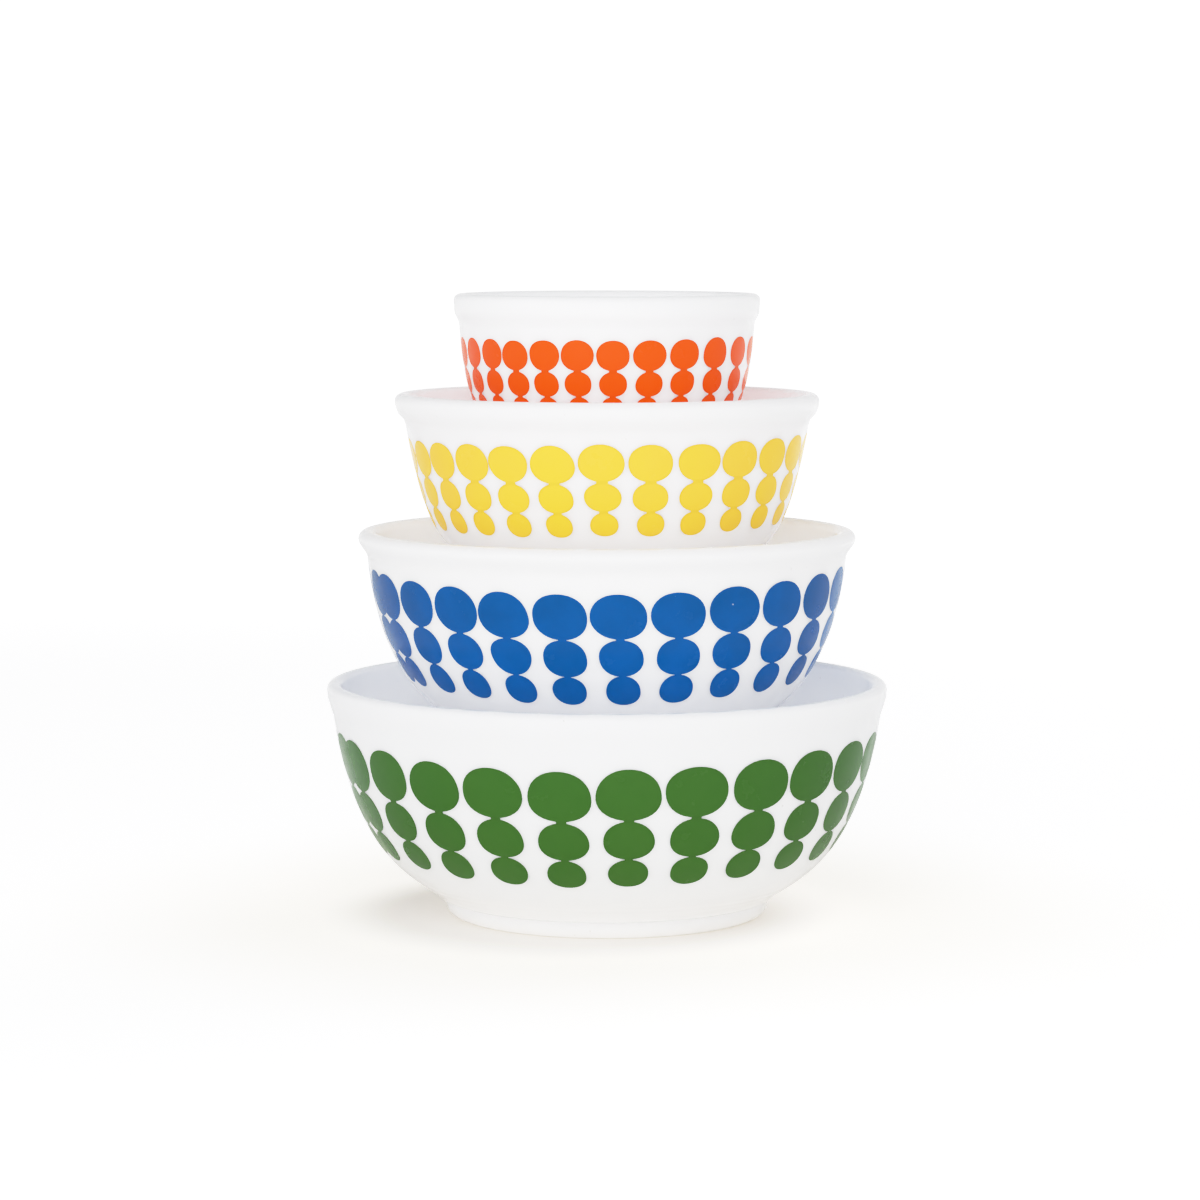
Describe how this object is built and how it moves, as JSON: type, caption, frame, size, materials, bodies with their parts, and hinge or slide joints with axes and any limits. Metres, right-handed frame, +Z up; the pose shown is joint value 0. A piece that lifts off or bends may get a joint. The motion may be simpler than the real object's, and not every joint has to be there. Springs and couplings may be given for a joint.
{
  "type": "nesting mixing bowl tower",
  "caption": "Nesting round mixing bowls in white glass with columns of shrinking coloured ovals, standing in each other as a stepped tower on hidden risers.",
  "frame": {"origin": "centre of the lowest bowl's foot ring, on the plane it stands on", "axes": "+Z up along the common axis of all the bowls; every piece is round, so X and Y are set by the printed pattern: -Y faces the viewer and +X is to the viewer's right"},
  "size_m": [0.267, 0.267, 0.2962],
  "materials": {
    "opal_glass": "gloss",
    "riser_plastic": "satin",
    "green_enamel": "gloss",
    "blue_enamel": "gloss",
    "yellow_enamel": "gloss",
    "orange_enamel": "gloss"
  },
  "bodies": {
    "green_bowl": {"green_bowl": "opal_glass"},
    "large_riser": {"large_riser": "riser_plastic"},
    "blue_bowl": {"blue_bowl": "opal_glass"},
    "medium_riser": {"medium_riser": "riser_plastic"},
    "yellow_bowl": {"yellow_bowl": "opal_glass"},
    "small_riser": {"small_riser": "riser_plastic"},
    "orange_bowl": {"orange_bowl": "opal_glass"}
  },
  "joints": [
    {"name": "large_riser_lift", "type": "slide", "parent": "green_bowl", "child": "large_riser", "axis": [0, 0, 1], "range_m": [0, 0.11]},
    {"name": "blue_bowl_lift", "type": "slide", "parent": "large_riser", "child": "blue_bowl", "axis": [0, 0, 1], "range_m": [0, 0.04]},
    {"name": "medium_riser_lift", "type": "slide", "parent": "blue_bowl", "child": "medium_riser", "axis": [0, 0, 1], "range_m": [0, 0.1]},
    {"name": "yellow_bowl_lift", "type": "slide", "parent": "medium_riser", "child": "yellow_bowl", "axis": [0, 0, 1], "range_m": [0, 0.04]},
    {"name": "small_riser_lift", "type": "slide", "parent": "yellow_bowl", "child": "small_riser", "axis": [0, 0, 1], "range_m": [0, 0.09]},
    {"name": "orange_bowl_lift", "type": "slide", "parent": "small_riser", "child": "orange_bowl", "axis": [0, 0, 1], "range_m": [0, 0.04]}
  ]
}
